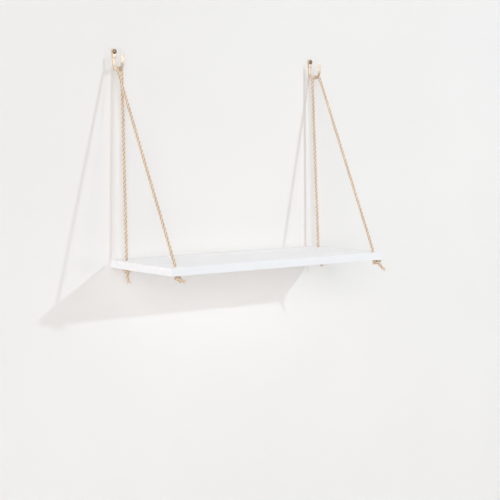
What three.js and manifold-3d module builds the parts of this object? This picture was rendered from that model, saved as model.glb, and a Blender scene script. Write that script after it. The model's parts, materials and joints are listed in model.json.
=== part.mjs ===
// A hanging rope shelf: a white board slung on two ropes, each rope laid over a brass strap
// hook on the wall and knotted under the board at both ends. Millimetres, +Z up, +X to the
// right along the wall. The origin is the middle of the board's back edge, which touches the
// wall plane Y = 0, and the room is on the -Y side.

import * as THREE from 'three';
import { mergeVertices } from 'three/addons/utils/BufferGeometryUtils.js';
import Module from 'manifold-3d';

const wasm = await Module();
wasm.setup();

// Driving dimensions of the board.
const boardLength = 500;
const boardDepth = 220;
const boardThickness = 15;
const boardEdgeEase = 1.2;
const holeDiameter = 7;
const holeEndInset = 17.5;
const holeBackInset = 29;
const holeFrontInset = 17;

// Driving dimensions of the ropes.
const ropeDiameter = 6;
const ropeRise = 360; // from the board's top to the middle of the rope over the hook
const strapSideGap = 0.6; // between a hanging rope and the edge of the hook's strap
const slipRadius = 16; // of the round face between the rope over a hook and its hanging stretches
const legSkew = 3; // how far forward of the rope's middle its front stretch leaves the strap
const knotWidth = 19;
const knotDepth = 16;
const knotHeight = 10;
const frontKnotShift = 6; // each front knot is pulled this far to the right of its hole

// Driving dimensions of the hooks.
const strapThickness = 1.4;
const strapChamfer = 0.3;
const strapTopWidth = 8;
const strapHookWidth = 6.2;
const hookEndInset = 15; // from the board's end in to the middle of the strap
const hookRadius = 16.2; // of the strap's middle line round the bottom of the hook
const hookShank = 20.5; // from the screw down to where the strap leaves the wall
const prongRise = 14; // straight part of the prong above the bend
const foldRadius = 0.85; // of the strap's middle line where its top is folded forward
const foldRise = 3.7; // from the screw up to the start of the fold
const flapDrop = 11.5; // from the screw down to the end of the folded flap
const taperStart = 7; // from the screw down to where the strap narrows

// Driving dimensions of the screws and wall plugs.
const screwHeadDiameter = 9;
const screwHeadHeight = 2.8;
const screwShankDiameter = 3.4;
const screwLength = 30; // behind the face of the wall
const screwPoint = 5;
const plugDiameter = 6;
const plugLength = 32;

// Clearances and counts.
const touchGap = 0.3; // between pieces that touch on the real object
const bedGap = 0.3; // between the rope and the hook that carries it
const knotGap = 0.9; // under the board, which a rope lifts its knots towards as it sways
const screwHoleClearance = 0.4; // on the radius
const plugBoreClearance = 0.15; // on the radius
const roundSides = 24;
const slipSides = 96;
const overHookSteps = 48;
const tailSteps = 12;
const footSteps = 5;
const ropeSides = 12;

// How far the hanging rope rests up the outer side of the hook's bend, in radians.
const restAngle = 0.3;

const ropeRadius = ropeDiameter / 2;
const boardTop = boardThickness / 2;
const boardUnder = -boardThickness / 2;
const holeX = boardLength / 2 - holeEndInset;
const hookX = boardLength / 2 - hookEndInset;
const backHoleY = -holeBackInset;
const frontHoleY = -(boardDepth - holeFrontInset);

const strapMiddleY = -strapThickness / 2;
const hookCentreY = strapMiddleY - hookRadius;
const ropeBedRadius = hookRadius - strapThickness / 2 - bedGap - ropeRadius;
const apexY = hookCentreY - ropeBedRadius * Math.sin(restAngle);
const apexZ = boardTop + ropeRise;
const hookCentreZ = apexZ + ropeBedRadius * Math.cos(restAngle);
const screwZ = hookCentreZ + hookShank;
const flapMiddleY = strapMiddleY - 2 * foldRadius;

const bendHalfRun = strapHookWidth / 2;
const legOffset = bendHalfRun + strapSideGap + ropeRadius;
const bendDrop = legOffset - bendHalfRun;
const skewShare = legSkew / legOffset;
const armReach = slipRadius + ropeDiameter;
const footRise = ropeRadius + touchGap; // from the board's top to the middle of a leg's round foot

const white = new THREE.MeshStandardMaterial({ color: 0xf3f4f6, roughness: 0.55, metalness: 0 });
const ropeTan = new THREE.MeshStandardMaterial({ color: 0xd9c7ad, roughness: 0.95, metalness: 0 });
const brass = new THREE.MeshStandardMaterial({ color: 0xd6a868, roughness: 0.32, metalness: 1 });
const bronze = new THREE.MeshStandardMaterial({ color: 0x6d4a2c, roughness: 0.4, metalness: 1 });
const plastic = new THREE.MeshStandardMaterial({ color: 0xb9bcc0, roughness: 0.6, metalness: 0 });

const shelf = new THREE.Group();

function add(name, geometry, material) {
  const mesh = new THREE.Mesh(geometry, material);
  mesh.name = name;
  shelf.add(mesh);
  return mesh;
}

// A closed geometry as a solid that can be cut.
function solidOf(geometry) {
  const bare = geometry.clone();
  bare.deleteAttribute('normal');
  bare.deleteAttribute('uv');
  const merged = mergeVertices(bare);
  const vertProperties = new Float32Array(merged.attributes.position.array);
  const triVerts = new Uint32Array(merged.index.array);
  return new wasm.Manifold(new wasm.Mesh({ numProp: 3, vertProperties, triVerts }));
}

function geometryOf(solid) {
  const mesh = solid.getMesh();
  const geometry = new THREE.BufferGeometry();
  geometry.setAttribute('position', new THREE.BufferAttribute(mesh.vertProperties, 3));
  geometry.setIndex(new THREE.BufferAttribute(mesh.triVerts, 1));
  geometry.computeVertexNormals();
  return geometry;
}

// A turned piece: its profile is [radius, height] pairs, and its axis runs from foot along axis.
function turned(profile, foot, axis, sides) {
  const points = profile.map(([r, h]) => new THREE.Vector2(r, h));
  const geometry = new THREE.LatheGeometry(points, sides);
  const turn = new THREE.Quaternion().setFromUnitVectors(new THREE.Vector3(0, 1, 0), axis);
  geometry.applyQuaternion(turn);
  geometry.translate(foot.x, foot.y, foot.z);
  return geometry;
}

function arcProfile(radius, centreHeight, from, to, steps) {
  return Array.from({ length: steps + 1 }, (_, i) => {
    const angle = from + ((to - from) * i) / steps;
    return [radius * Math.cos(angle), centreHeight + radius * Math.sin(angle)];
  });
}

// The board, with eased edges and four rope holes.
function board() {
  const outline = new THREE.Shape();
  outline.moveTo(-boardLength / 2, -boardDepth);
  outline.lineTo(boardLength / 2, -boardDepth);
  outline.lineTo(boardLength / 2, 0);
  outline.lineTo(-boardLength / 2, 0);
  outline.closePath();
  for (const x of [-holeX, holeX]) {
    for (const y of [backHoleY, frontHoleY]) {
      const hole = new THREE.Path();
      hole.absarc(x, y, holeDiameter / 2, 0, 2 * Math.PI, true);
      outline.holes.push(hole);
    }
  }
  const geometry = new THREE.ExtrudeGeometry(outline, {
    depth: boardThickness - 2 * boardEdgeEase,
    bevelEnabled: true,
    bevelThickness: boardEdgeEase,
    bevelSize: boardEdgeEase,
    bevelOffset: -boardEdgeEase,
    bevelSegments: 3,
    curveSegments: roundSides / 2,
  });
  geometry.translate(0, 0, boardUnder + boardEdgeEase);
  return geometry;
}

// The stations of a hook's strap: its middle line in the plane across the wall, from the end
// of the folded flap, over the fold, down the wall, round the hook and up the prong. Each has
// the line's direction and the strap's width there.
function strapStations() {
  const stations = [];
  const foldZ = screwZ + foldRise;
  const taperZ = screwZ - taperStart;
  const station = (y, z, dy, dz, width) => stations.push({ y, z, dy, dz, width });
  station(flapMiddleY, screwZ - flapDrop, 0, 1, strapTopWidth);
  const foldSteps = 8;
  for (let i = 0; i <= foldSteps; i += 1) {
    const angle = Math.PI - (Math.PI * i) / foldSteps;
    const y = strapMiddleY - foldRadius + foldRadius * Math.cos(angle);
    const z = foldZ + foldRadius * Math.sin(angle);
    station(y, z, Math.sin(angle), -Math.cos(angle), strapTopWidth);
  }
  station(strapMiddleY, taperZ, 0, -1, strapTopWidth);
  const bendSteps = 20;
  for (let i = 0; i <= bendSteps; i += 1) {
    const angle = (-Math.PI * i) / bendSteps;
    const y = hookCentreY + hookRadius * Math.cos(angle);
    const z = hookCentreZ + hookRadius * Math.sin(angle);
    station(y, z, Math.sin(angle), -Math.cos(angle), strapHookWidth);
  }
  // The prong's tip is rounded off.
  const tipRadius = strapHookWidth / 2;
  const tipZ = hookCentreZ + prongRise;
  const prongY = hookCentreY - hookRadius;
  const tipSteps = 5;
  for (let i = 0; i < tipSteps; i += 1) {
    const angle = (Math.PI * i) / (2 * tipSteps);
    const z = tipZ - tipRadius + tipRadius * Math.sin(angle);
    station(prongY, z, 0, 1, strapHookWidth * Math.cos(angle));
  }
  return stations;
}

// A flat strap swept along its stations, with its long edges chamfered.
function strap(x) {
  const stations = strapStations();
  const positions = [];
  const indices = [];
  const half = strapThickness / 2;
  for (const s of stations) {
    const w = s.width / 2;
    const c = Math.min(strapChamfer, w / 2);
    const section = [
      [w, -half + c], [w, half - c], [w - c, half], [-w + c, half],
      [-w, half - c], [-w, -half + c], [-w + c, -half], [w - c, -half],
    ];
    for (const [across, out] of section) {
      positions.push(x + across, s.y - out * s.dz, s.z + out * s.dy);
    }
  }
  const ring = 8;
  const last = (stations.length - 1) * ring;
  for (let i = 0; i < last; i += ring) {
    for (let k = 0; k < ring; k += 1) {
      const next = (k + 1) % ring;
      indices.push(i + k, i + ring + next, i + next);
      indices.push(i + k, i + ring + k, i + ring + next);
    }
  }
  for (let k = 1; k < ring - 1; k += 1) {
    indices.push(0, k, k + 1);
    indices.push(last, last + k + 1, last + k);
  }
  const geometry = new THREE.BufferGeometry();
  geometry.setAttribute('position', new THREE.Float32BufferAttribute(positions, 3));
  geometry.setIndex(indices);
  return geometry;
}

// A strap hook with the screw's hole through its flap and its back.
function hook(x) {
  const holeRadius = screwShankDiameter / 2 + screwHoleClearance;
  const reach = strapThickness - flapMiddleY;
  const drill = new THREE.CylinderGeometry(holeRadius, holeRadius, 2 * reach, roundSides);
  drill.translate(x, 0, screwZ);
  const cut = solidOf(strap(x)).subtract(solidOf(drill));
  return geometryOf(cut);
}

const intoWall = new THREE.Vector3(0, 1, 0);
const screwSeatY = flapMiddleY - strapThickness / 2 - touchGap;

// A round-headed screw through the flap, its shank running into the wall plug.
function screw(x) {
  const shank = screwShankDiameter / 2;
  const total = screwLength - screwSeatY;
  const domeSteps = 6;
  const dome = Array.from({ length: domeSteps + 1 }, (_, i) => {
    const angle = (Math.PI / 2) * (1 - i / domeSteps);
    return [(screwHeadDiameter / 2) * Math.cos(angle), -screwHeadHeight * Math.sin(angle)];
  });
  dome[0][0] = 0;
  const profile = [...dome, [shank, 0], [shank, total - screwPoint], [0, total]];
  return turned(profile, new THREE.Vector3(x, screwSeatY, screwZ), intoWall, roundSides);
}

// A wall plug behind the hook, with the screw's shank in its bore.
function plug(x) {
  const bore = screwShankDiameter / 2 + plugBoreClearance;
  const outer = plugDiameter / 2;
  const nose = (outer + bore) / 2;
  const profile = [
    [bore, 0], [outer, 0], [outer, plugLength - plugDiameter], [nose, plugLength],
    [0, plugLength], [0, screwLength + touchGap], [bore, screwLength + touchGap - screwPoint], [bore, 0],
  ];
  return turned(profile, new THREE.Vector3(x, touchGap, screwZ), intoWall, roundSides);
}

const apexOf = (side) => new THREE.Vector3(side * hookX, apexY, apexZ);
const footOf = (side, y) => new THREE.Vector3(side * holeX, y, boardTop + footRise);

// The board sways along the wall about a line through the start of both hanging stretches of
// a rope. This cylinder about that line is larger all round by grow.
function slipFace(side, grow) {
  const apex = apexOf(side);
  const radius = slipRadius + grow;
  const geometry = new THREE.CylinderGeometry(radius, radius, boardDepth, slipSides);
  geometry.translate(apex.x, apex.y, apex.z - bendDrop);
  return solidOf(geometry);
}

// The rope goes straight over the strap and leaves it a little askew, its front stretch further
// forward and up the hook's bend than its back one. This is the line between the two for one
// unit along the wall towards the outer side of the hook.
const outerRun = (side) => new THREE.Vector3(side, -skewShare, skewShare * Math.tan(restAngle));

// Where a hanging stretch leaves the hook, and its direction down to the board. It leaves on
// the hook's outer side, or on its inner one where outer is -1.
function departure(side, y, outer) {
  const apex = apexOf(side);
  const foot = footOf(side, y);
  const lean = new THREE.Vector3(0, foot.y - apex.y, foot.z - apex.z).normalize();
  const start = apex.clone().addScaledVector(lean, bendDrop);
  start.addScaledVector(outerRun(side), outer * legOffset);
  const down = foot.clone().sub(start).normalize();
  return { start, foot, down };
}

// The front stretch of each rope hangs on the outer side of its hook, the back one on the
// inner side, so the ropes cross as they leave the hook.
const backLeg = (side) => departure(side, backHoleY, -1);
const frontLeg = (side) => departure(side, frontHoleY, 1);

function ropeSection() {
  const section = new THREE.Shape();
  section.absarc(0, 0, ropeRadius, 0, 2 * Math.PI, false);
  return section;
}

function tube(path, steps) {
  return new THREE.ExtrudeGeometry(ropeSection(), {
    steps,
    extrudePath: path,
    bevelEnabled: false,
    curveSegments: ropeSides / 2,
  });
}

// The rope where it lies over the hook, bent down on both sides of the strap and cut off
// along the slip face.
function ropeOverHook(side) {
  const back = backLeg(side);
  const front = frontLeg(side);
  const apex = apexOf(side);
  const outwards = new THREE.Vector3(side, 0, 0);
  const innerTop = apex.clone().addScaledVector(outwards, -bendHalfRun);
  const outerTop = apex.clone().addScaledVector(outwards, bendHalfRun);
  // A cubic curve follows a quarter turn when its handles are this share of the radius.
  const quarterTurnShare = 0.5523;
  const handle = bendDrop * quarterTurnShare;
  const path = new THREE.CurvePath();
  path.add(new THREE.LineCurve3(back.start.clone().addScaledVector(back.down, armReach), back.start));
  path.add(new THREE.CubicBezierCurve3(
    back.start,
    back.start.clone().addScaledVector(back.down, -handle),
    innerTop.clone().addScaledVector(outwards, -handle),
    innerTop,
  ));
  path.add(new THREE.LineCurve3(innerTop, outerTop));
  path.add(new THREE.CubicBezierCurve3(
    outerTop,
    outerTop.clone().addScaledVector(outwards, handle),
    front.start.clone().addScaledVector(front.down, -handle),
    front.start,
  ));
  path.add(new THREE.LineCurve3(front.start, front.start.clone().addScaledVector(front.down, armReach)));
  return geometryOf(solidOf(tube(path, overHookSteps)).intersect(slipFace(side, 0)));
}

// A taut stretch from the slip face to the board, with a round foot over the hole.
function ropeLeg(side, leg) {
  const length = leg.start.distanceTo(leg.foot);
  const foot = arcProfile(ropeRadius, 0, -Math.PI / 2, 0, footSteps);
  foot[0][0] = 0;
  const profile = [...foot, [ropeRadius, length], [0, length]];
  const stretch = turned(profile, leg.foot, leg.down.clone().negate(), ropeSides);
  return geometryOf(solidOf(stretch).subtract(slipFace(side, touchGap)));
}

// The stretch of rope from the board's top down through a hole to its knot.
function ropeInHole(x, y) {
  const length = boardThickness + knotGap - touchGap;
  const geometry = new THREE.CylinderGeometry(ropeRadius, ropeRadius, length, ropeSides);
  geometry.rotateX(Math.PI / 2);
  geometry.translate(x, y, boardTop - length / 2);
  return geometry;
}

// A stopper knot pulled up under the board, as a flattened lump, larger all round by grow.
function knot(x, y, grow) {
  const geometry = new THREE.SphereGeometry(1, roundSides, roundSides / 2);
  geometry.rotateX(Math.PI / 2);
  geometry.scale(knotWidth / 2 + grow, knotDepth / 2 + grow, knotHeight / 2 + grow);
  geometry.translate(x, y, boardUnder - knotGap - knotHeight / 2);
  return geometry;
}

// The loose end of the rope below a knot, from inside the knot outwards, cut back to the
// knot's surface. The knot stands shifted to the right of its hole, and the route is measured
// from the middle of the hole at the board's underside.
function tail(x, y, shift, route) {
  const points = route.map(([dx, dy, dz]) => new THREE.Vector3(x + dx, y + dy, boardUnder + dz));
  const path = new THREE.CatmullRomCurve3(points);
  const loose = solidOf(tube(path, tailSteps));
  return geometryOf(loose.subtract(solidOf(knot(x + shift, y, touchGap))));
}

const tailRoutes = {
  left_back: [[0, 0, -6], [-0.2, -0.4, -11], [0, -0.8, -16], [1.2, -1, -21.5], [3.2, -0.8, -27.5]],
  left_front: [[6, 0, -5], [9.5, -2, -7.6], [12, -3, -9.2], [15.5, -4.2, -11], [18.5, -5.3, -12.6]],
  right_back: [[1, 0, -6], [2.6, -0.5, -9.5], [4.4, -1, -14], [5.8, -1.5, -18], [6.8, -2, -22]],
  right_front: [[6, -0.5, -5.5], [9.5, -2.5, -9], [13.5, -4.7, -13], [18, -7, -17.2], [22, -9, -21.2]],
};

add('board', board(), white);

for (const [name, side] of [['left', -1], ['right', 1]]) {
  const x = side * holeX;
  add(`${name}_hook`, hook(side * hookX), brass);
  add(`${name}_hook_screw`, screw(side * hookX), bronze);
  add(`${name}_wall_plug`, plug(side * hookX), plastic);
  add(`${name}_rope_over_hook`, ropeOverHook(side), ropeTan);
  add(`${name}_back_rope`, ropeLeg(side, backLeg(side)), ropeTan);
  add(`${name}_front_rope`, ropeLeg(side, frontLeg(side)), ropeTan);
  for (const [place, y, shift] of [['back', backHoleY, 0], ['front', frontHoleY, frontKnotShift]]) {
    add(`${name}_${place}_rope_in_hole`, ropeInHole(x, y), ropeTan);
    add(`${name}_${place}_knot`, knot(x + shift, y, 0), ropeTan);
    add(`${name}_${place}_tail`, tail(x, y, shift, tailRoutes[`${name}_${place}`]), ropeTan);
  }
}

export default shelf;
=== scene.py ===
"""A hanging rope shelf: a white board slung on two twisted ropes from two brass strap hooks.

Metres, +Z up, +X to the right along the wall. The wall's face is the plane Y = 0 and the room
is on its -Y side. Every shape is a surface of two parameters, worked out as whole arrays.
"""

import json

import bpy
import numpy as np
from mathutils import Matrix, Vector


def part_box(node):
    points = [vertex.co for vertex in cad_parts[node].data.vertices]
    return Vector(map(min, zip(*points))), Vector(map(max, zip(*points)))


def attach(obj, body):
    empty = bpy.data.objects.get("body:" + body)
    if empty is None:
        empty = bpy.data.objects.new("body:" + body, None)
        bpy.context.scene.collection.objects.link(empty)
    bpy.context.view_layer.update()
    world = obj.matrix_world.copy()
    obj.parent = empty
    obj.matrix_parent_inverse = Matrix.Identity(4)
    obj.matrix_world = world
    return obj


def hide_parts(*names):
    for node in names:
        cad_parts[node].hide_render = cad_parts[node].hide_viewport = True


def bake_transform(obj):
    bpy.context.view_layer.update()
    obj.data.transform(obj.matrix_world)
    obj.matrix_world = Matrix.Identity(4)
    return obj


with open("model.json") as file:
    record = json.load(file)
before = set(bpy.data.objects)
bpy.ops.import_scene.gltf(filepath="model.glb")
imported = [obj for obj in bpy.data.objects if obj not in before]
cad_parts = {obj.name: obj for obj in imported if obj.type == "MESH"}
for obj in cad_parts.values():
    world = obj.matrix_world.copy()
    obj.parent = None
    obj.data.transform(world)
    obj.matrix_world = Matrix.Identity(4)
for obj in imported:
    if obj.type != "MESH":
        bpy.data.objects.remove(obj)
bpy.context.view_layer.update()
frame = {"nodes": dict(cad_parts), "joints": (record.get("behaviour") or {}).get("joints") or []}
pivots = {joint["name"]: np.array(joint["pos_m"]) for joint in frame["joints"]}

# The camera stands to the left of the shelf, a little above the board, and looks slightly
# down. Its place and angles come from the board's edges, ropes and shadows in the photograph.
camera_place = (-1.2500, -1.8595, 0.1936)
camera_turn, camera_dip, camera_roll = np.radians([35.463, 4.642, -0.633])
picture_width = 500
focal_pixels = 1106.7  # the lens's focal length, in the picture's own pixels

ahead = Vector((np.sin(camera_turn) * np.cos(camera_dip),
                np.cos(camera_turn) * np.cos(camera_dip),
                -np.sin(camera_dip)))
level = Vector((np.cos(camera_turn), -np.sin(camera_turn), 0))
upright = level.cross(ahead)
to_right = level * np.cos(camera_roll) + upright * np.sin(camera_roll)
to_top = upright * np.cos(camera_roll) - level * np.sin(camera_roll)
camera_data = bpy.data.cameras.new("camera")
camera_data.sensor_width = 36
camera_data.lens = focal_pixels / picture_width * camera_data.sensor_width
camera_data.clip_start, camera_data.clip_end = 0.05, 30
camera = bpy.data.objects.new("camera", camera_data)
camera.matrix_world = (Matrix.Translation(camera_place)
                       @ Matrix((to_right, to_top, -ahead)).transposed().to_4x4())
bpy.context.scene.collection.objects.link(camera)
bpy.context.scene.camera = camera

# The two ropes, each one length of three-strand twisted natural fibre, 6 mm thick. It is
# knotted under the board at the back, goes up through its hole, over the hook, down through
# the front hole, and ends in a second knot. Both cut ends are left hanging out.
hole_low, hole_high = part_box("left_back_rope_in_hole")
rope_diameter = hole_high.x - hole_low.x
rope_radius = rope_diameter / 2
lay_length = 0.026  # of rope for one turn of its strands
strand_share = 0.5  # of the rope's radius: the radius of one strand, and its middle's distance out
yarns_in_strand, yarn_slant, yarn_ridge = 4, 0.7, 0.00009
hairs_per_metre = 520
ring_step = 0.0008
strand_points = 14
strap_half_run = 0.0031  # the rope lies straight this far to each side of the strap's middle
strap_clearance = 0.0005  # above its pivot, so that it clears the metal as it rolls
leg_offset = 0.0067  # from the hook's middle to where each stretch hangs straight
skew = 0.003  # the back stretch leaves the hook this much nearer the wall, the front one further
skew_share = skew / leg_offset
rest_lean = 0.3  # radians between the wall and the plane that both stretches hang in
quarter_handle = 0.5523  # a quarter circle's handles, as a share of its radius
bend_above, bend_below = 0.010, 0.008  # how far the bend at the hole's mouth goes up and down
line_smoothing = 0.0012  # the width of the bell that evens out the line's small corners
frayed_run = 0.0045  # how far the strands stand out past the whole rope at a cut end
board_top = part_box("board")[1].z
board_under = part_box("board")[0].z
# Where each loose end leaves its knot, and its cut tip, from the hole's middle at the underside.
tail_routes = {
    "left_back": [(0.0012, -0.001, -0.0195), (0.0026, -0.0008, -0.0238)],
    "left_front": [(0.0115, -0.003, -0.009), (0.0145, -0.004, -0.0105)],
    "right_back": [(0.0058, -0.0015, -0.018), (0.0068, -0.002, -0.0215)],
    "right_front": [(0.0165, -0.0062, -0.0155), (0.0197, -0.0078, -0.0188)],
}
# How far each knot is turned about its hole, in radians, and how far below the board it hangs.
# The right knots need that room, because they rise towards the board as it sways.
knot_turns = {"left_back": 0.0, "left_front": 3.67, "right_back": 2.09, "right_front": 3.67}
knot_gaps = {"left": 0.0, "right": 0.0015}
# How much further out the strands' middles get at each cut end, as a share of their distance.
splay = {"left_back": 1.25, "left_front": 0.7, "right_back": 0.6, "right_front": 0.35}


def respaced(points, step):
    """The same line with points a step apart: each coordinate interpolated along its length."""
    run = np.concatenate([[0], np.cumsum(np.linalg.norm(np.diff(points, axis=0), axis=1))])
    at = np.linspace(0, run[-1], max(int(round(run[-1] / step)), 2) + 1)
    return np.stack([np.interp(at, run, points[:, k]) for k in range(3)], 1)


def eased(share):
    """A smooth step from 0 to 1: three shares squared less two shares cubed."""
    share = np.clip(share, 0, 1)
    return share * share * (3 - 2 * share)


def bezier(a, b, c, d, count=24):
    """A cubic curve from a to d, with b and c as its handles."""
    t = np.linspace(0, 1, count)[:, None]
    return (1 - t) ** 3 * a + 3 * (1 - t) ** 2 * t * b + 3 * (1 - t) * t ** 2 * c + t ** 3 * d


def tied_knot(pull_to, turn, clear):
    """An overhand knot pulled tight under a hole at the origin, with the board at z = 0.

    It starts as the open trefoil x = t^3 - 3t, y = t^4 - 4t^2, z = t^5/5 - 2t, hung by one end.
    Each round draws every point towards the middle of its neighbours, pushes stretches of the
    rope that lie too close apart, keeps them clear of the board, and spaces the points again.
    The loose end swings from straight down to pull_to. Meanwhile a plane rises to flatten the
    knot against the board, and dips by its slope over the slack at the loose end.
    """
    rounds, step = 2500, 0.0019
    open_size, press, skin = 0.47, 0.82, 0.45  # in rope diameters: the trefoil's scale, and the
    # least gaps from turn to turn and to the board
    push = 0.6  # the share of a missing gap that one round makes up
    fixed_run, hung_below, hub_depth = 0.0075, 0.012, 0.006
    plane_start, plane_end, plane_slope, slack = 0.03, 0.0068, 0.6, 0.016
    t = np.linspace(-2, 2, 120)
    loop = np.stack([t ** 3 - 3 * t, t ** 4 - 4 * t ** 2, t ** 5 / 5 - 2 * t], 1)
    loop[:, 1] -= loop[:, 1].mean()
    up = (loop[0] - loop[-1]) / np.linalg.norm(loop[0] - loop[-1])
    side = np.cross(up, (0, 1, 0))
    side /= np.linalg.norm(side)
    loop = np.stack([loop @ side, loop @ np.cross(up, side), loop @ up], 1)
    c, s = np.cos(turn), np.sin(turn)
    loop[:, :2] = loop[:, :2] @ np.array([[c, s], [-s, c]])
    loop *= open_size * rope_diameter
    loop[:, 2] -= rope_radius + loop[:, 2].max()
    inside = np.zeros((4, 3))
    inside[:, 2] = np.linspace(fixed_run, 0, 4)
    hung = np.array([0, 0, loop[:, 2].min() - hung_below])
    free = respaced(np.vstack([inside[-1], loop, hung]), step)
    hub = np.array([0, 0, -hub_depth - clear])
    gap = press * rope_diameter
    near = 1.3 * rope_diameter  # along the rope: stretches nearer than this don't push
    for i in range(rounds):
        swing = eased((i / rounds - 0.3) / 0.4)  # from 0.3 to 0.7 of the rounds
        a, b = hung - hub, np.array(pull_to) - hub
        reach = (1 - swing) * np.linalg.norm(a) + swing * np.linalg.norm(b)
        aim = (1 - swing) * a / np.linalg.norm(a) + swing * b / np.linalg.norm(b)
        free[-1] = hub + reach * aim / np.linalg.norm(aim)
        free[1:-1] += 0.5 * ((free[:-2] + free[2:]) / 2 - free[1:-1])
        whole = np.vstack([inside[:-1], free])
        order = np.arange(len(whole))
        along = np.abs(order[:, None] - order[None, :]) * step
        offset = whole[:, None] - whole[None, :]
        distance = np.linalg.norm(offset, axis=2) + 1e-9
        short = np.where((along > near) & (distance < gap), gap - distance, 0)
        share = push / np.maximum((short > 0).sum(1), 1)
        whole += (offset / distance[..., None] * short[..., None]).sum(1) * share[:, None]
        free = whole[len(inside) - 1:]
        free[0] = inside[-1]
        free[2:, 2] = np.minimum(free[2:, 2], -skin * rope_diameter - clear)
        squeeze = eased((i / rounds - 0.35) / 0.3)  # from 0.35 to 0.65 of them
        from_end = (len(free) - 1 - np.arange(len(free))) * step
        plane = (-plane_start * (1 - squeeze) - (plane_end + clear) * squeeze
                 - plane_slope * np.maximum(slack - from_end, 0))
        free[2:-1, 2] = np.maximum(free[2:-1, 2], plane[2:-1])
        if i % 3 == 2:
            free = respaced(free, step)
    return free


def rope_line(side):
    """The rope's centreline from its back cut end to its front one.

    Its pieces are the cut end, the knot, the hole, a short bend, the straight stretch, and a
    quarter turn down each side of the strap, with the rope's crossing over the strap between.
    """
    name = "left" if side < 0 else "right"
    apex = pivots["swing_out" if side < 0 else "swing_out_right"]
    drop = apex[2] - pivots["sway"][2]
    foot_z = pivots["board_level"][2]
    halves = []
    outwards = np.array([side, -skew_share, skew_share * np.tan(rest_lean)])
    for place, outer in (("back", -1), ("front", 1)):
        low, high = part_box(f"{name}_{place}_rope_in_hole")
        foot = np.array([(low.x + high.x) / 2, (low.y + high.y) / 2, foot_z])
        lean = foot - apex
        lean[0] = 0
        lean /= np.linalg.norm(lean)
        start = apex + lean * drop + outwards * outer * leg_offset
        down = (foot - start) / np.linalg.norm(foot - start)
        across = np.array([side * outer, 0, 0])
        top = apex + across * strap_half_run + np.array([0, 0, strap_clearance])
        handle = quarter_handle * drop
        over = bezier(top, top + across * handle, start - down * handle, start)
        bend = bezier(foot - down * bend_above, foot - down * 0.002,
                      foot - np.array([0, 0, 0.001]), foot - np.array([0, 0, bend_below]))
        key = f"{name}_{place}"
        under = np.array([foot[0], foot[1], board_under])
        leaves, tip = np.array(tail_routes[key])
        knot = tied_knot(leaves, knot_turns[key], knot_gaps[name]) + under
        halves.append(np.vstack([over, bend, knot, tip + under]))
    return np.vstack([halves[0][::-1], halves[1]])


def rope_frames(line):
    """The line's direction at each point, and two square directions carried along it unturned."""
    ahead = np.gradient(line, axis=0)
    ahead /= np.linalg.norm(ahead, axis=1)[:, None]
    across = np.empty_like(line)
    across[0] = np.cross(ahead[0], (0.3, 0.9, 0.1))  # any direction that isn't the rope's own
    across[0] /= np.linalg.norm(across[0])
    for i in range(1, len(line)):
        across[i] = across[i - 1] - ahead[i] * (across[i - 1] @ ahead[i])
        across[i] /= np.linalg.norm(across[i])
    return ahead, across, np.cross(ahead, across)


def solid_tubes(rings, across=None, along=None):
    """Closed tubes from rings of points, shaped (tubes, rings, points, 3).

    Neighbouring rings are joined by four-sided faces, and each end is closed on its middle.
    across and along are the same grid's two surface coordinates, kept for the materials.
    """
    tubes, count, around, _ = rings.shape
    across = np.zeros(rings.shape[:3]) if across is None else across
    along = np.zeros(rings.shape[:3]) if along is None else along
    wrapped = np.concatenate([across[:, :, 1:], 2 * across[:, :, -1:] - across[:, :, -2:-1]], 2)
    points = rings.reshape(-1, 3)
    here = np.arange(tubes * count * around).reshape(tubes, count, around)
    beside = np.roll(here, -1, axis=2)
    sides = np.stack([here[:, :-1], beside[:, :-1], beside[:, 1:], here[:, 1:]], -1).reshape(-1, 4)
    side_places = np.stack([
        np.stack([across[:, :-1], wrapped[:, :-1], wrapped[:, 1:], across[:, 1:]], -1),
        np.stack([along[:, :-1], along[:, :-1], along[:, 1:], along[:, 1:]], -1)], -1)
    middles = np.concatenate([rings[:, 0].mean(1), rings[:, -1].mean(1)])
    middle = len(points) + np.arange(2 * tubes)[:, None]
    start, end = (np.broadcast_to(half, (tubes, around)) for half in np.split(middle, 2))
    ends = np.concatenate([np.stack([start, beside[:, 0], here[:, 0]], -1),
                           np.stack([end, here[:, -1], beside[:, -1]], -1)]).reshape(-1, 3)
    place = np.stack([across, along], -1)
    end_places = np.concatenate([
        np.stack([place[:, 0], place[:, 0], place[:, 0]], 2),
        np.stack([place[:, -1], place[:, -1], place[:, -1]], 2)]).reshape(-1, 3, 2)
    return {"points": np.vstack([points, middles]), "sides": sides, "ends": ends,
            "side_places": side_places.reshape(-1, 4, 2), "end_places": end_places}


def together(parts):
    """Several sets of surfaces as one, each one's point numbers moved past those before it."""
    starts = np.cumsum([0] + [len(part["points"]) for part in parts[:-1]])
    joined = {key: np.concatenate([part[key] for part in parts])
              for key in parts[0] if key not in ("sides", "ends")}
    for key in ("sides", "ends"):
        joined[key] = np.concatenate([part[key] + start for part, start in zip(parts, starts)])
    return joined


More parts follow.
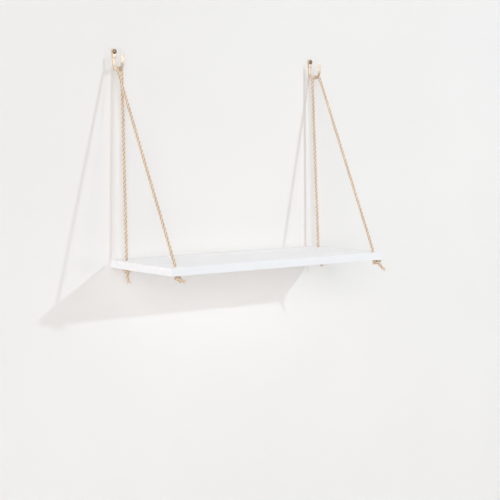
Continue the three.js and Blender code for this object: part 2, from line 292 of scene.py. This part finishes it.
def mesh_object(name, surfaces, material, values=None):
    """A mesh object at the origin from a set of surfaces, with its coordinates as a UV map."""
    sides, ends = surfaces["sides"], surfaces["ends"]
    mesh = bpy.data.meshes.new(name)
    mesh.vertices.add(len(surfaces["points"]))
    mesh.vertices.foreach_set("co", surfaces["points"].astype(np.float32).ravel())
    mesh.loops.add(sides.size + ends.size)
    mesh.loops.foreach_set("vertex_index", np.concatenate([sides.ravel(), ends.ravel()]))
    mesh.polygons.add(len(sides) + len(ends))
    sizes = np.concatenate([np.full(len(sides), 4), np.full(len(ends), 3)])
    mesh.polygons.foreach_set("loop_start", np.concatenate([[0], np.cumsum(sizes)[:-1]]))
    mesh.polygons.foreach_set("use_smooth", np.ones(len(sizes), bool))
    places = mesh.uv_layers.new(name="surface")
    flat = np.concatenate([surfaces["side_places"].ravel(), surfaces["end_places"].ravel()])
    places.data.foreach_set("uv", flat.astype(np.float32))
    for key, numbers in (values or {}).items():
        attribute = mesh.attributes.new(key, "FLOAT", "POINT")
        attribute.data.foreach_set("value", numbers.astype(np.float32))
    mesh.update(calc_edges=True)
    mesh.validate()
    mesh.materials.append(material)
    piece = bpy.data.objects.new(name, mesh)
    bpy.context.scene.collection.objects.link(piece)
    return piece


def new_finish(name, **even):
    """A new material. The values that are even all over it are set on its shader's sockets."""
    material = bpy.data.materials.new(name)
    material.use_nodes = True
    shader = material.node_tree.nodes["Principled BSDF"]
    sockets = {socket.name.replace(" ", "_").lower(): socket for socket in shader.inputs}
    for key, value in even.items():
        sockets[key].default_value = value
    return material, material.node_tree.nodes, material.node_tree.links, shader


def stretched_noise(nodes, links, coordinates, scale, detail=3.0, roughness=0.55):
    """Noise on a material's coordinates, drawn out or squeezed by its scale along each axis."""
    mapping = nodes.new("ShaderNodeMapping")
    mapping.inputs["Scale"].default_value = scale
    links.new(coordinates, mapping.inputs["Vector"])
    noise = nodes.new("ShaderNodeTexNoise")
    noise.inputs["Scale"].default_value = 1.0
    noise.inputs["Detail"].default_value = detail
    noise.inputs["Roughness"].default_value = roughness
    links.new(mapping.outputs["Vector"], noise.inputs["Vector"])
    return noise.outputs["Fac"]


def colour_ramp(nodes, links, value, stops):
    """Colours along a value from 0 to 1, as (place, colour) stops."""
    ramp = nodes.new("ShaderNodeValToRGB")
    while len(ramp.color_ramp.elements) < len(stops):
        ramp.color_ramp.elements.new(0.5)
    for element, (place, colour) in zip(ramp.color_ramp.elements, stops):
        element.position = place
        element.color = (*colour, 1)
    links.new(value, ramp.inputs["Fac"])
    return ramp.outputs["Color"]


def varied_shine(nodes, links, shader, value, dull, bright):
    """Roughness that goes from dull to bright as a value goes from 0.3 to 0.7."""
    shine = colour_ramp(nodes, links, value, [(0.3, (dull,) * 3), (0.7, (bright,) * 3)])
    links.new(shine, shader.inputs["Roughness"])


def tinted(nodes, links, colour, shade):
    """One colour times another."""
    mix = nodes.new("ShaderNodeMix")
    mix.data_type = "RGBA"
    mix.blend_type = "MULTIPLY"
    mix.inputs[0].default_value = 1.0
    first, second = [socket for socket in mix.inputs if socket.type == "RGBA"]
    links.new(colour, first)
    links.new(shade, second)
    return next(socket for socket in mix.outputs if socket.type == "RGBA")


def raised(nodes, links, shader, height, strength, distance):
    """A bump from a height, linked to the shader's normal."""
    bump = nodes.new("ShaderNodeBump")
    bump.inputs["Strength"].default_value = strength
    bump.inputs["Distance"].default_value = distance
    links.new(height, bump.inputs["Height"])
    links.new(bump.outputs["Normal"], shader.inputs["Normal"])


def rope_fibre():
    """Pale plant fibre: streaks along the yarns, with painted shade that darkens the grooves
    between the strands.
    """
    material, nodes, links, shader = new_finish(
        "rope_fibre", roughness=0.88, specular_ior_level=0.25,
        sheen_weight=0.25, sheen_roughness=0.5)
    places = nodes.new("ShaderNodeUVMap")
    places.uv_map = "surface"
    streaks = stretched_noise(nodes, links, places.outputs["UV"], (9, 140, 1), 4.0, 0.65)
    colour = colour_ramp(nodes, links, streaks, [
        (0.25, (0.72, 0.56, 0.42)), (0.45, (0.82, 0.67, 0.53)),
        (0.60, (0.90, 0.76, 0.63)), (0.78, (0.96, 0.85, 0.73))])
    spots = nodes.new("ShaderNodeTexCoord")
    blotches = stretched_noise(nodes, links, spots.outputs["Object"], (70, 70, 70), 2.0)
    shades = colour_ramp(nodes, links, blotches, [(0.3, (0.90, 0.88, 0.86)), (0.7, (1, 1, 1))])
    # Painted shade: the deeper a point lies in the groove between the strands, the darker its
    # colour.
    depth = nodes.new("ShaderNodeAttribute")
    depth.attribute_name = "groove"
    painted_groove_shade = colour_ramp(nodes, links, depth.outputs["Fac"], [
        (0.0, (1, 1, 1)), (0.45, (0.87, 0.81, 0.75)), (1.0, (0.50, 0.39, 0.29))])
    worn = tinted(nodes, links, colour, shades)
    links.new(tinted(nodes, links, worn, painted_groove_shade), shader.inputs["Base Color"])
    raised(nodes, links, shader, streaks, 0.6, 0.0003)
    return material


def rope_body(line, frames, run, part):
    """The rope's skin over a stretch of its line: three round strands laid side by side.

    A ring is three arcs of two thirds of a turn, one for each strand, and turns once in each lay
    length. Each strand swells a little by waves along it. Fine ridges, a cosine of the place
    across the strand, follow its yarns, which slant against the lay.
    """
    _, across, up = frames
    middle, n, b, s = line[part], across[part], up[part], run[part]
    arc = np.linspace(-1, 1, strand_points, endpoint=False) * np.radians(120)
    strand = strand_share * rope_radius
    out = rope_radius - strand
    place = (arc / np.radians(240))[None, None, :] + yarn_slant * 3 * s[:, None, None] / lay_length
    swell = 1 + 0.025 * np.sin(s * 190 + 1)[:, None, None] + 0.02 * np.sin(
        s[:, None, None] * 83 + np.array([0, 2.1, 4.2])[None, :, None])
    ridge = (yarn_ridge * (1 - (arc / arc[0]) ** 2)[None, None, :]
             * np.cos(2 * np.pi * yarns_in_strand * place))
    third = (2 * np.pi / 3 * np.arange(3))[None, :, None]
    turn = (2 * np.pi * s / lay_length)[:, None, None] + third
    x = out + (strand * swell + ridge) * np.cos(arc)
    y = (strand * swell + ridge) * np.sin(arc)
    across_n = x * np.cos(turn) - y * np.sin(turn)
    across_b = x * np.sin(turn) + y * np.cos(turn)
    flat = (len(s), 3 * strand_points)
    rings = (middle[:, None] + across_n.reshape(flat)[..., None] * n[:, None]
             + across_b.reshape(flat)[..., None] * b[:, None])
    # How deep each point lies between the strands; the fibre material darkens by it as painted
    # shade.
    depth = np.clip((rope_radius - np.hypot(x, y)) / strand, 0, 1).reshape(flat)
    shape = (1, *flat)
    lanes = (np.arange(3)[None, :, None] * 1.7 + place).reshape(shape)
    surfaces = solid_tubes(rings[None], lanes, np.broadcast_to(s[:, None], flat)[None])
    # The end caps' middles get a middling value, so the painted groove shade darkens them too.
    surfaces["groove"] = np.concatenate([depth.ravel(), [0.6, 0.6]])
    return surfaces


def opened_end(line, frames, run, index, inwards, splayed):
    """The three strands past a cut end, which spread and thin as they leave the rope.

    Each is a round tube from a little inside the rope to its own reach, turned on by the lay. Its
    distance out grows as a power of the way along, and its tip closes as a quarter circle.
    """
    ahead, across, up = (f[index] for f in frames)
    outwards = -ahead if inwards > 0 else ahead
    corners = 14
    t = np.linspace(-0.18, 1, 12)[None, :, None]
    reach = np.array([0.0052, 0.0044, 0.0058])[:, None, None]
    turn = (2 * np.pi * run[index] / lay_length + 2 * np.pi / 3 * np.arange(3))[:, None, None]
    turn = turn + t * 0.8 * (-1 if inwards > 0 else 1)
    strand = strand_share * rope_radius
    away = (rope_radius - strand) * (1 + splayed * np.clip(t, 0, 1) ** 1.3)
    angle = (np.arange(corners) / corners * 2 * np.pi)[None, None, :]
    closing = np.clip((t - 0.86) / 0.15, 0, 1)
    thick = strand * (0.97 - 0.12 * t ** 2) * np.sqrt(np.clip(1 - closing ** 2, 0, 1))
    x = away * np.cos(turn) + thick * np.cos(angle)
    y = away * np.sin(turn) + thick * np.sin(angle)
    z = (t * reach) + 0 * angle
    rings = (line[index] + x[..., None] * across + y[..., None] * up + z[..., None] * outwards)
    if inwards > 0:
        rings = rings[:, :, ::-1]
    lanes = np.broadcast_to(angle / (2 * np.pi) * 2, x.shape)
    surfaces = solid_tubes(rings, lanes, np.broadcast_to(run[index] + z, x.shape))
    # The frayed strands get a little of the painted groove shade.
    surfaces["groove"] = np.full(len(surfaces["points"]), 0.15)
    return surfaces


def loose_fibres(line, frames, run, part, seed):
    """Fine hairs that stand off the rope: each runs along it and lifts away in a low arc.

    Its distance out is a straight rise plus half a sine, and it thins to its tip.
    """
    _, across, up = frames
    low, high = part.start, part.stop
    margin = 14  # in rings, so that no hair runs past the stretch
    draw = np.random.default_rng(seed)
    hairs = int((run[high - 1] - run[low]) * hairs_per_metre)
    root = draw.integers(low + margin, high - margin, hairs)
    reach = draw.uniform(3, 13, hairs) * draw.choice([-1, 1], hairs)
    angle, curl = draw.uniform(0, 2 * np.pi, hairs), draw.uniform(-0.9, 0.9, hairs)
    lift, thick = draw.uniform(0.0002, 0.0017, hairs), draw.uniform(0.00003, 0.00006, hairs)
    t = np.linspace(0, 1, 6)[None, :]
    at = np.clip(root[:, None] + reach[:, None] * t, low, high - 1)
    index = np.floor(at).astype(int)
    share = (at - index)[..., None]
    following = np.minimum(index + 1, high - 1)
    middle = line[index] * (1 - share) + line[following] * share
    n, b = across[index], up[index]
    around = angle[:, None] + curl[:, None] * t
    away = rope_radius * 0.82 + lift[:, None] * (t + 0.6 * np.sin(np.pi * t))
    core = middle + (away * np.cos(around))[..., None] * n + (away * np.sin(around))[..., None] * b
    corner = (np.arange(3) * 2 * np.pi / 3)[None, None, :]
    width = (thick[:, None] * (1 - 0.85 * t))[..., None]
    rings = (core[:, :, None] + (width * np.cos(corner))[..., None] * n[:, :, None]
             + (width * np.sin(corner))[..., None] * b[:, :, None])
    backwards = reach < 0
    rings[backwards] = rings[backwards][:, :, ::-1]
    surfaces = solid_tubes(rings)
    surfaces["groove"] = np.zeros(len(surfaces["points"]))
    return surfaces


def smoothed(line, width):
    """The line averaged along itself with bell-shaped weights; its two ends stay in place."""
    reach = int(3 * width / ring_step)
    weights = np.exp(-0.5 * (np.arange(-reach, reach + 1) * ring_step / width) ** 2)
    weights = weights / weights.sum()
    padded = np.vstack([2 * line[0] - line[reach:0:-1], line,
                        2 * line[-1] - line[-2:-reach - 2:-1]])
    return np.stack([np.convolve(padded[:, k], weights, "valid") for k in range(3)], 1)


fibre = rope_fibre()
for side in (-1, 1):
    name = "left" if side < 0 else "right"
    line = respaced(smoothed(respaced(rope_line(side), ring_step), line_smoothing), ring_step)
    run = np.concatenate([[0], np.cumsum(np.linalg.norm(np.diff(line, axis=0), axis=1))])
    frames = rope_frames(line)
    apex = pivots["swing_out" if side < 0 else "swing_out_right"]
    middle = int(np.argmax(line[:, 2]))
    half_height = (apex[2] + board_top) / 2
    back_split = int(np.argmin(np.abs(line[:middle, 2] - half_height)))
    front_split = middle + int(np.argmin(np.abs(line[middle:, 2] - half_height)))
    last = len(line)
    parts = {"over_hook": slice(back_split, front_split + 1),
             "back_end": slice(0, back_split + 1),
             "front_end": slice(front_split, last)}
    for order, (place, part) in enumerate(parts.items()):
        skins = [rope_body(line, frames, run, part),
                 loose_fibres(line, frames, run, part, 10 * (side + 2) + order)]
        if place == "back_end":
            skins.append(opened_end(line, frames, run, 0, 1, splay[f"{name}_back"]))
        if place == "front_end":
            skins.append(opened_end(line, frames, run, last - 1, -1, splay[f"{name}_front"]))
        skin = together(skins)
        piece = mesh_object(f"{name}_rope_{place}", skin, fibre, {"groove": skin["groove"]})
        stretch = line[part]
        if place == "back_end":
            stretch = np.vstack([stretch[0] - frames[0][0] * frayed_run, stretch])
        if place == "front_end":
            stretch = np.vstack([stretch, stretch[-1] + frames[0][-1] * frayed_run])
        if place == "over_hook":
            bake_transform(piece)
            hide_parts(f"{name}_rope_over_hook")
        else:
            which = place.split("_")[0]
            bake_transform(piece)
            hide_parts(f"{name}_{which}_rope", f"{name}_{which}_rope_in_hole",
                        f"{name}_{which}_knot", f"{name}_{which}_tail")


# The two wall hooks, each one strip of brass 1.4 mm thick, cut and bent cold. The top is folded
# forward over itself, and the lower half is narrower and bent out and up into a U that holds
# the rope, with a rounded prong. The finish is brushed along the strip.
strip_thick = 0.0014
strip_edge = 0.00035  # the radius of its rounded edges
strip_wide, strip_narrow = 0.008, 0.0062
fold_radius = 0.00085
bend_radius = 0.0162
screw_above_bend = 0.0205
fold_above_screw = 0.0037
prong_above_bend = 0.014
flap_below_screw = 0.0115
fold_run = 0.008  # of strip, from beside the screw on the flap to behind it on the back
taper_below_screw = 0.007
strip_step = 0.0004


def strip_line(low):
    """The strip's middle line in the plane across the wall: flap, fold, back, U and prong.

    The fold and the U are half circles, and straight runs join them.
    """
    middle = -strip_thick / 2
    bend_y, bend_z = middle - bend_radius, low.z + strip_thick / 2 + bend_radius
    screw_z = bend_z + screw_above_bend
    fold_z = screw_z + fold_above_screw
    turn = np.linspace(0, np.pi, 60)
    flap = [(middle - 2 * fold_radius, screw_z - flap_below_screw)]
    fold = np.stack([middle - fold_radius - fold_radius * np.cos(turn),
                     fold_z + fold_radius * np.sin(turn)], 1)
    bend = np.stack([bend_y + bend_radius * np.cos(turn), bend_z - bend_radius * np.sin(turn)], 1)
    tip = [(bend_y - bend_radius, bend_z + prong_above_bend)]
    line = np.vstack([flap, fold, bend, tip])
    return respaced(np.column_stack([np.zeros(len(line)), line]), strip_step), screw_z, bend_z


def bent_strip(low, high):
    """A rounded oblong carried along the strip's line, narrowing below the screw.

    The oblong's corners are quarter circles. It draws in by a quarter circle at the flap's
    end, and at the prong's tip its half width falls as a half circle.
    """
    line, screw_z, bend_z = strip_line(low)
    line[:, 0] = (low.x + high.x) / 2
    run = np.linspace(0, strip_step * (len(line) - 1), len(line))
    left = run[-1] - run
    ahead = np.gradient(line, axis=0)
    ahead /= np.linalg.norm(ahead, axis=1)[:, None]
    out = np.cross(ahead, (1, 0, 0))
    taper_z = screw_z - taper_below_screw
    fallen = eased((taper_z - line[:, 2]) / (taper_z - bend_z))
    on_hook = np.arange(len(line)) > np.argmin(np.abs(run - flap_below_screw - fold_run))
    wide = strip_wide + (strip_narrow - strip_wide) * np.where(on_hook, fallen, 0)
    wide = np.where(run > run[-1] / 2, strip_narrow, wide)
    tip = np.clip(strip_narrow / 2 - left, 0, None)
    round_tip = np.sqrt(np.clip((strip_narrow / 2) ** 2 - tip ** 2, 0, None))
    half = np.minimum(wide / 2, round_tip + 1e-5)
    half = np.where(left < strip_narrow / 2, half, wide / 2)
    end = np.clip(strip_edge - np.minimum(run, left), 0, strip_edge)
    drawn = strip_edge - np.sqrt(strip_edge ** 2 - end ** 2)
    half = np.maximum(half - drawn, 1e-5)[:, None]
    thick = (strip_thick / 2 - drawn)[:, None]
    corner = np.linspace(0, np.pi / 2, 6)
    angle = np.concatenate([corner + quarter * np.pi / 2 for quarter in range(4)])[None]
    ease = np.minimum(np.minimum(strip_edge, half), thick)
    sign_x = np.repeat([1, -1, -1, 1], 6)[None]
    sign_y = np.repeat([1, 1, -1, -1], 6)[None]
    x = sign_x * (half - ease) + ease * np.cos(angle)
    y = sign_y * (thick - ease) + ease * np.sin(angle)
    rings = line[:, None] + x[..., None] * np.array([1.0, 0, 0]) + y[..., None] * out[:, None]
    return solid_tubes(rings[None], x[None], np.broadcast_to(run[:, None], x.shape)[None])


def brushed_brass():
    """Lacquered brass: fine lines along the strip, with darker patches and softer shine."""
    material, nodes, links, shader = new_finish("brushed_brass", metallic=1.0)
    places = nodes.new("ShaderNodeUVMap")
    places.uv_map = "surface"
    lines = stretched_noise(nodes, links, places.outputs["UV"], (9000, 160, 1), 3.0, 0.6)
    spots = nodes.new("ShaderNodeTexCoord")
    patches = stretched_noise(nodes, links, spots.outputs["Object"], (260, 260, 260), 3.0)
    tone = colour_ramp(nodes, links, patches, [
        (0.30, (0.62, 0.49, 0.37)), (0.52, (0.69, 0.57, 0.45)), (0.75, (0.75, 0.64, 0.53))])
    shade = colour_ramp(nodes, links, lines, [(0.25, (0.86, 0.85, 0.84)), (0.6, (1, 1, 1))])
    links.new(tinted(nodes, links, tone, shade), shader.inputs["Base Color"])
    varied_shine(nodes, links, shader, patches, 0.62, 0.50)
    raised(nodes, links, shader, lines, 0.25, 0.00005)
    return material


brass = brushed_brass()
for name in ("left", "right"):
    strip = mesh_object(f"{name}_strap_hook", bent_strip(*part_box(f"{name}_hook")), brass)
    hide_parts(f"{name}_hook")
    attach(strip, "wall_hooks")

# The two screws that hold the hooks: steel with a bronze finish, a domed head with a cross
# recess, and a rolled thread that bites into the wall plug.
head_radius = 0.0045
head_high = 0.0028
shank_radius = 0.0017
thread_pitch, thread_high = 0.0014, 0.0003
thread_start, thread_fade = 0.006, 0.002
recess_arm, recess_half, recess_deep, recess_soft = 0.0024, 0.00048, 0.0012, 0.00016
point_long = 0.005


def wood_screw(low, high, turn):
    """A turned form with its recess and thread as changes to the turning's radius and depth.

    The head is a quarter ellipse. The recess is a cross of two bars with soft walls, sunk into
    it. The thread is a rounded ridge that climbs one pitch each turn, and fades into the point.
    """
    seat = low.y + head_high
    total = high.y - seat
    theta = np.linspace(0, 2 * np.pi, 96, endpoint=False)
    a = np.linspace(0.001, np.pi / 2, 56)
    head_r, head_y = head_radius * np.sin(a), -head_high * np.cos(a)
    rim = np.linspace(head_radius, shank_radius, 8)[1:]
    down = np.linspace(0, total, 260)[1:]
    shank = shank_radius * np.minimum(1, (total - down) / point_long + 0.02)
    radius = np.concatenate([head_r, rim, shank])
    depth = np.concatenate([head_y, np.zeros(len(rim)), down])
    climb = depth[:, None] / thread_pitch - theta[None] / (2 * np.pi)
    ridge = np.clip(np.cos(2 * np.pi * climb), 0, 1) ** 2 * thread_high - thread_high
    threaded = eased((depth - thread_start) / thread_fade) * (radius > 0.0004)
    r = np.maximum(radius[:, None] + ridge * threaded[:, None], 0.00001)
    x, z = r * np.cos(theta + turn), r * np.sin(theta + turn)
    bar_x, bar_z = np.abs(r * np.cos(theta)), np.abs(r * np.sin(theta))
    in_bar = [eased((recess_half - wide) / recess_soft + 0.5)
              * eased((recess_arm - long) / recess_soft + 0.5)
              for wide, long in ((bar_z, bar_x), (bar_x, bar_z))]
    on_head = np.arange(len(radius))[:, None] < len(a)
    sunk = np.maximum(*in_bar) * recess_deep * (1 - 0.45 * r / recess_arm) * on_head
    middle = np.array([(low.x + high.x) / 2, seat, (low.z + high.z) / 2])
    rings = middle + np.stack([x, depth[:, None] + sunk, z], -1)
    return solid_tubes(rings[None, :, ::-1], np.broadcast_to(theta, x.shape)[None],
                       np.broadcast_to(depth[:, None], x.shape)[None])


def bronzed_steel():
    """Bronze-finished steel, browner in some spots and rubbed brighter in others."""
    material, nodes, links, shader = new_finish("bronzed_steel", metallic=1.0)
    spots = nodes.new("ShaderNodeTexCoord")
    patches = stretched_noise(nodes, links, spots.outputs["Object"], (900, 900, 900), 4.0)
    tone = colour_ramp(nodes, links, patches, [
        (0.32, (0.14, 0.095, 0.065)), (0.52, (0.26, 0.185, 0.13)), (0.72, (0.46, 0.37, 0.29))])
    links.new(tone, shader.inputs["Base Color"])
    varied_shine(nodes, links, shader, patches, 0.5, 0.3)
    raised(nodes, links, shader, patches, 0.3, 0.0001)
    return material


bronze = bronzed_steel()
for name, turn in (("left", 0.35), ("right", 1.15)):
    screw = mesh_object(f"{name}_screw", wood_screw(*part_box(f"{name}_hook_screw"), turn), bronze)
    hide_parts(f"{name}_hook_screw")
    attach(screw, "wall_hooks")

# The two wall plugs, moulded in grey nylon. Each is a tube with barbs round it and two splits
# along it, and it spreads in the wall as the screw goes in.
barb_pitch, barb_high = 0.004, 0.0005
collar_long, nose_long = 0.005, 0.006
split_start, split_deep, split_half_angle = 0.006, 0.0007, 0.16
bore_radius = 0.0018


def barbed_plug(low, high):
    """A turned sleeve whose radius falls along each barb and jumps back at the next.

    Two opposite splits are narrow hollows along its front part, and its nose closes in.
    """
    outer = (high.x - low.x) / 2
    long = high.y - low.y
    theta = np.linspace(0, 2 * np.pi, 120, endpoint=False)
    along = np.linspace(0, long, 220)
    share = (along / barb_pitch) % 1
    barbed = eased((along - collar_long) / 0.001) * eased((long - collar_long - along) / 0.001)
    radius = outer - barb_high * eased(share * 1.15) * barbed
    nose = np.clip((along - (long - nose_long)) / nose_long, 0, 1)
    radius = radius * np.sqrt(np.clip(1 - (nose * 0.93) ** 2, 0, None))
    off = np.abs((theta + np.pi / 2) % np.pi - np.pi / 2)
    split = np.clip(1 - off / split_half_angle, 0, 1) ** 0.5
    open_part = eased((along - split_start) / 0.002) * eased((long - 0.002 - along) / 0.002)
    r = radius[:, None] - split_deep * split[None] * open_part[:, None]
    inner = np.linspace(bore_radius, outer - 0.0002, 6)
    face = np.broadcast_to(inner[:, None], (6, len(theta)))
    r = np.vstack([face, r])
    y = np.concatenate([np.zeros(6), along])[:, None] + 0 * theta
    middle = np.array([(low.x + high.x) / 2, low.y, (low.z + high.z) / 2])
    rings = middle + np.stack([r * np.cos(theta), y, r * np.sin(theta)], -1)
    return solid_tubes(rings[None, :, ::-1], np.broadcast_to(theta, r.shape)[None], y[None])


def moulded_nylon():
    """Grey nylon with the soft mottle and fine grain of a moulding."""
    material, nodes, links, shader = new_finish("moulded_nylon")
    spots = nodes.new("ShaderNodeTexCoord")
    mottle = stretched_noise(nodes, links, spots.outputs["Object"], (420, 420, 420), 3.0)
    tone = colour_ramp(nodes, links, mottle, [(0.3, (0.43, 0.45, 0.47)), (0.7, (0.52, 0.54, 0.56))])
    links.new(tone, shader.inputs["Base Color"])
    varied_shine(nodes, links, shader, mottle, 0.58, 0.44)
    raised(nodes, links, shader, mottle, 0.2, 0.0001)
    return material


nylon = moulded_nylon()
for name in ("left", "right"):
    sleeve = mesh_object(f"{name}_plug", barbed_plug(*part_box(f"{name}_wall_plug")), nylon)
    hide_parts(f"{name}_wall_plug")
    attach(sleeve, "wall_hooks")

# The board: one piece of 15 mm wood with eased edges and a hole near each corner, rubbed
# down and painted white. The paint shows a little of the grain and of the roller.


def white_paint():
    """Satin white paint: the grain runs faintly along the board under a fine roller stipple."""
    material, nodes, links, shader = new_finish("white_paint")
    spots = nodes.new("ShaderNodeTexCoord")
    grain = stretched_noise(nodes, links, spots.outputs["Object"], (3, 90, 90), 5.0, 0.6)
    tone = colour_ramp(nodes, links, grain, [
        (0.3, (0.888, 0.878, 0.890)), (0.7, (0.926, 0.916, 0.926))])
    clouds = stretched_noise(nodes, links, spots.outputs["Object"], (9, 14, 14), 2.0)
    shade = colour_ramp(nodes, links, clouds, [(0.3, (0.975, 0.975, 0.975)), (0.7, (1, 1, 1))])
    links.new(tinted(nodes, links, tone, shade), shader.inputs["Base Color"])
    stipple = stretched_noise(nodes, links, spots.outputs["Object"], (700, 700, 700), 2.0)
    varied_shine(nodes, links, shader, clouds, 0.52, 0.40)
    relief = nodes.new("ShaderNodeMath")
    relief.operation = "MULTIPLY_ADD"
    relief.inputs[1].default_value = 0.35  # the stipple's share of the grain's height
    links.new(stipple, relief.inputs[0])
    links.new(grain, relief.inputs[2])
    raised(nodes, links, shader, relief.outputs["Value"], 0.25, 0.0002)
    return material


board = frame["nodes"]["board"]
paint = white_paint()
for place in board.material_slots:
    place.material = paint

# The room: a pale plastered wall right behind the shelf, and a pale floor far below it. A small
# cool lamp to the right throws the ropes' crisp shadows to the left. The other five lights are
# soft and fill them in.
wall_gap = 0.0005
wall_reach = 7.0
floor_z = -1.2


def plaster():
    """Pale matt wall paint with a fine stipple. Its back is see-through, for views from behind."""
    material, nodes, links, shader = new_finish("plaster", roughness=0.9)
    spots = nodes.new("ShaderNodeTexCoord")
    clouds = stretched_noise(nodes, links, spots.outputs["Object"], (2.5, 2.5, 2.5), 2.0)
    tone = colour_ramp(nodes, links, clouds, [
        (0.3, (0.893, 0.865, 0.842)), (0.7, (0.909, 0.881, 0.860))])
    links.new(tone, shader.inputs["Base Color"])
    stipple = stretched_noise(nodes, links, spots.outputs["Object"], (260, 260, 260), 2.0)
    raised(nodes, links, shader, stipple, 0.06, 0.0005)
    facing = nodes.new("ShaderNodeNewGeometry")
    clear = nodes.new("ShaderNodeBsdfTransparent")
    choose = nodes.new("ShaderNodeMixShader")
    links.new(facing.outputs["Backfacing"], choose.inputs[0])
    links.new(shader.outputs["BSDF"], choose.inputs[1])
    links.new(clear.outputs["BSDF"], choose.inputs[2])
    links.new(choose.outputs["Shader"], nodes["Material Output"].inputs["Surface"])
    return material


def flat_sheet(name, corners, material):
    """A four-cornered sheet for the room."""
    mesh = bpy.data.meshes.new(name)
    mesh.from_pydata(corners, [], [(0, 1, 2, 3)])
    mesh.materials.append(material)
    sheet = bpy.data.objects.new(name, mesh)
    bpy.context.scene.collection.objects.link(sheet)


four_ways = ((-1, -1), (1, -1), (1, 1), (-1, 1))
flat_sheet("wall", [(x * wall_reach, wall_gap, floor_z if z < 0 else wall_reach)
                    for x, z in four_ways], plaster())
flat_sheet("floor", [(x * wall_reach, y * wall_reach, floor_z) for x, y in four_ways],
           new_finish("pale_floor", base_color=(0.80, 0.79, 0.775, 1), roughness=0.8)[0])


def studio_light(name, kind, power, size, place, aim, colour=(1, 1, 1)):
    """A lamp, a broad panel or a far soft source at a place, turned towards its aim.

    Its size is a lamp's radius, the angle that a far source fills, or a panel's two sides.
    """
    light = bpy.data.lights.new(name, kind)
    light.energy = power
    light.color = colour
    if kind == "POINT":
        light.shadow_soft_size = size
    elif kind == "SUN":
        light.angle = size
    else:
        light.shape = "RECTANGLE"
        light.size, light.size_y = size
    stand = bpy.data.objects.new(name, light)
    turn = (Vector(aim) - Vector(place)).to_track_quat("-Z", "Y").to_matrix().to_4x4()
    stand.matrix_world = Matrix.Translation(place) @ turn
    bpy.context.scene.collection.objects.link(stand)


# The broad front light stands on the camera's side, a little above the shelf. The window light
# is weaker, and its shadows lie beside the lamp's. Panels overhead and to the left light the
# board's top and end, and the low one its underside.
shelf_middle = (0, -0.05, 0.15)
studio_light("lamp", "POINT", 53, 0.035, (1.127, -2.266, 0.915), shelf_middle, (0.79, 0.93, 1))
studio_light("front_light", "SUN", 1.06, 0.6, (-0.9, -1.87, 0.5), shelf_middle)
studio_light("window_light", "SUN", 0.2, 0.15, (0.6, -1.87, 0.15), shelf_middle)
studio_light("overhead_panel", "AREA", 17, (1.6, 0.4), (0, -0.16, 2.6), (0, -0.16, 0))
studio_light("side_panel", "AREA", 20, (1.0, 1.6), (-2.9, -0.5, 0.3), shelf_middle)
studio_light("low_panel", "AREA", 5.5, (3.0, 1.0), (0, -2.4, -0.95), shelf_middle)

# The air round the room gives a dim even light, and looks pale where the camera sees it, also
# as a reflection or through glass.
world = bpy.data.worlds.new("pale_room")
world.use_nodes = True
room, joins = world.node_tree.nodes, world.node_tree.links
even = room["Background"]
even.inputs["Color"].default_value = (0.235, 0.235, 0.24, 1)
seen = room.new("ShaderNodeBackground")
seen.inputs["Color"].default_value = (0.88, 0.875, 0.865, 1)
rays = room.new("ShaderNodeLightPath")
shown = rays.outputs["Is Camera Ray"]
for kind in ("Is Glossy Ray", "Is Transmission Ray"):
    as_well = room.new("ShaderNodeMath")
    as_well.operation = "MAXIMUM"
    joins.new(shown, as_well.inputs[0])
    joins.new(rays.outputs[kind], as_well.inputs[1])
    shown = as_well.outputs["Value"]
either = room.new("ShaderNodeMixShader")
joins.new(shown, either.inputs[0])
joins.new(even.outputs["Background"], either.inputs[1])
joins.new(seen.outputs["Background"], either.inputs[2])
joins.new(either.outputs["Shader"], room["World Output"].inputs["Surface"])
bpy.context.scene.world = world
bpy.context.scene.view_settings.view_transform = "Standard"
